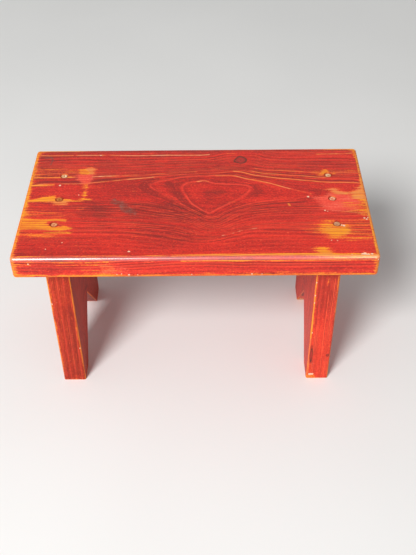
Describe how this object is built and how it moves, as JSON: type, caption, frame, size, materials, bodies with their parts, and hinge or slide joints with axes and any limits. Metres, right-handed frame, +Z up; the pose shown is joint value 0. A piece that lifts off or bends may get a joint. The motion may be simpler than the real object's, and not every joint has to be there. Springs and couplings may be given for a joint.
{
  "type": "bucket bench",
  "caption": "Low bench of planks: a seat board screwed down onto upright end boards, each with a V cut in its foot.",
  "frame": {"origin": "on the floor below the centre of the seat board", "axes": "+X along the seat to the right, +Y to the back, +Z up; the front is at -Y"},
  "size_m": [0.548, 0.286, 0.3],
  "materials": {
    "seat_wood": "worn red stain over softwood",
    "end_wood": "worn red stain over softwood",
    "screw_steel": "dull, stained"
  },
  "bodies": {
    "root": {"seat_board": "seat_wood", "left_end_board": "end_wood", "right_end_board": "end_wood", "left_screw_front": "screw_steel", "left_screw_middle": "screw_steel", "left_screw_back": "screw_steel", "right_screw_front": "screw_steel", "right_screw_middle": "screw_steel", "right_screw_back": "screw_steel"}
  },
  "joints": []
}
